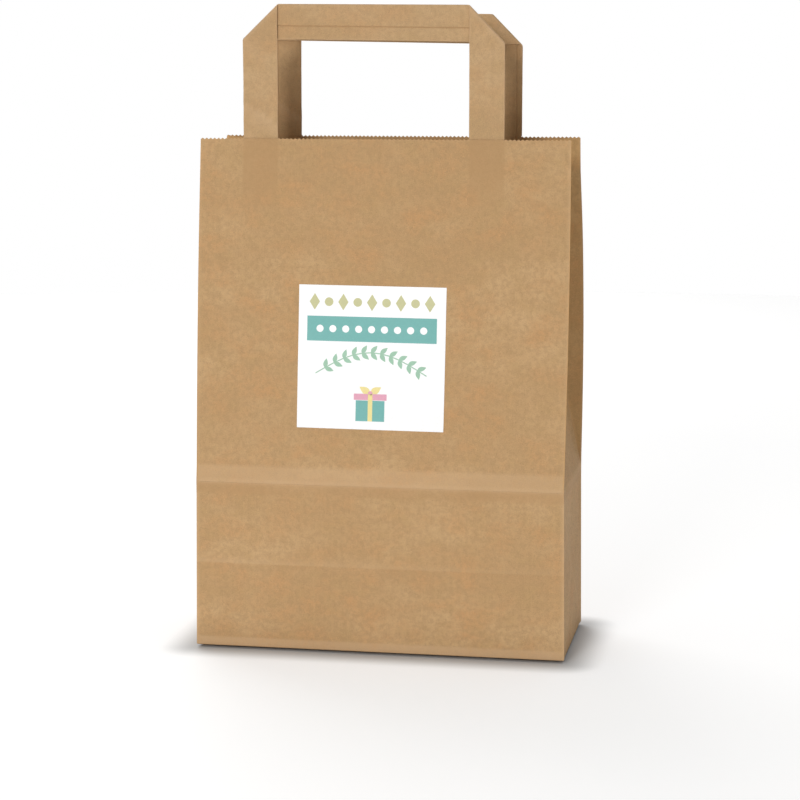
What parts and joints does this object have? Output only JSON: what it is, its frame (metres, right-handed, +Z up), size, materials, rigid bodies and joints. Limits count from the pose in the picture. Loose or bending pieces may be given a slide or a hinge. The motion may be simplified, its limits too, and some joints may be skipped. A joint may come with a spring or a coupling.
{
  "type": "flat-handled paper gift bag",
  "caption": "Upright kraft paper carrier with gusseted sides, pasted block bottom, pinked mouth, folded-tape handles glued inside and a square label on the front.",
  "frame": {"origin": "centre of the footprint, on the surface the bag stands on", "axes": "+Z up to the handles; front wall with the label faces -Y; +X to the right seen from the front"},
  "size_m": [0.18, 0.08, 0.3124],
  "materials": {
    "kraft_paper": "matt, faint fibre and calender streaks",
    "kraft_tape": "matt, folded and glued tape",
    "kraft_patch": "matt",
    "label_paper": "smooth white, satin"
  },
  "bodies": {
    "lower_box": {"front_lower_panel": "kraft_paper", "back_lower_panel": "kraft_paper", "left_lower_gusset": "kraft_paper", "right_lower_gusset": "kraft_paper", "base_front_flap": "kraft_paper", "base_back_flap": "kraft_paper", "base_left_flap": "kraft_paper", "base_right_flap": "kraft_paper", "seam_lap_lower": "kraft_paper"},
    "front_wall": {"front_upper_panel": "kraft_paper", "front_tail_left": "kraft_tape", "front_tail_right": "kraft_tape", "front_patch": "kraft_patch", "label": "label_paper"},
    "back_wall": {"back_upper_panel": "kraft_paper", "back_tail_left": "kraft_tape", "back_tail_right": "kraft_tape", "back_patch": "kraft_patch", "seam_lap_upper": "kraft_paper"},
    "left_centre": {"left_gusset_centre": "kraft_paper"},
    "right_centre": {"right_gusset_centre": "kraft_paper"},
    "left_front_wing": {"left_gusset_front": "kraft_paper"},
    "right_front_wing": {"right_gusset_front": "kraft_paper"},
    "left_back_wing": {"left_gusset_back": "kraft_paper"},
    "right_back_wing": {"right_gusset_back": "kraft_paper"},
    "front_handle": {"front_handle_left_leg": "kraft_tape", "front_handle_right_leg": "kraft_tape", "front_handle_grip": "kraft_tape"},
    "back_handle": {"back_handle_left_leg": "kraft_tape", "back_handle_right_leg": "kraft_tape", "back_handle_grip": "kraft_tape"}
  },
  "joints": [
    {"name": "mouth_fold", "type": "hinge", "parent": "lower_box", "child": "front_wall", "pos_m": [0, -0.04, 0.083], "axis": [-1, 0, 0], "range_deg": [0, 4.2]},
    {"name": "back_wall_fold", "type": "hinge", "parent": "lower_box", "child": "back_wall", "pos_m": [0, 0.04, 0.083], "axis": [1, 0, 0], "range_deg": [0, 4.2]},
    {"name": "left_centre_fold", "type": "hinge", "parent": "lower_box", "child": "left_centre", "pos_m": [-0.09, 0, 0.083], "axis": [0, 1, 0], "range_deg": [0, 2.25]},
    {"name": "right_centre_fold", "type": "hinge", "parent": "lower_box", "child": "right_centre", "pos_m": [0.09, 0, 0.083], "axis": [0, -1, 0], "range_deg": [0, 2.25]},
    {"name": "left_front_wing_fold", "type": "hinge", "parent": "front_wall", "child": "left_front_wing", "pos_m": [-0.09, -0.04, 0.083], "axis": [0, -0.0941, -0.9956], "range_deg": [0, 19.68]},
    {"name": "right_front_wing_fold", "type": "hinge", "parent": "front_wall", "child": "right_front_wing", "pos_m": [0.09, -0.04, 0.083], "axis": [0, 0.0941, 0.9956], "range_deg": [0, 19.68]},
    {"name": "left_back_wing_fold", "type": "hinge", "parent": "back_wall", "child": "left_back_wing", "pos_m": [-0.09, 0.04, 0.083], "axis": [0, -0.0941, 0.9956], "range_deg": [0, 19.68]},
    {"name": "right_back_wing_fold", "type": "hinge", "parent": "back_wall", "child": "right_back_wing", "pos_m": [0.09, 0.04, 0.083], "axis": [0, 0.0941, -0.9956], "range_deg": [0, 19.68]},
    {"name": "front_handle_swing", "type": "hinge", "parent": "front_wall", "child": "front_handle", "pos_m": [0, -0.02414, 0.24924], "axis": [1, 0, 0], "range_deg": [-4, 170]},
    {"name": "back_handle_swing", "type": "hinge", "parent": "back_wall", "child": "back_handle", "pos_m": [0, 0.02414, 0.24924], "axis": [-1, 0, 0], "range_deg": [-4, 170]}
  ],
  "couplings": [
    {"joint": "back_wall_fold", "follows": "mouth_fold", "ratio": 1},
    {"joint": "left_centre_fold", "follows": "mouth_fold", "ratio": 0.53067},
    {"joint": "left_front_wing_fold", "follows": "mouth_fold", "ratio": 4.6746},
    {"joint": "left_back_wing_fold", "follows": "mouth_fold", "ratio": 4.6746},
    {"joint": "right_centre_fold", "follows": "mouth_fold", "ratio": 0.53067},
    {"joint": "right_front_wing_fold", "follows": "mouth_fold", "ratio": 4.6746},
    {"joint": "right_back_wing_fold", "follows": "mouth_fold", "ratio": 4.6746}
  ]
}
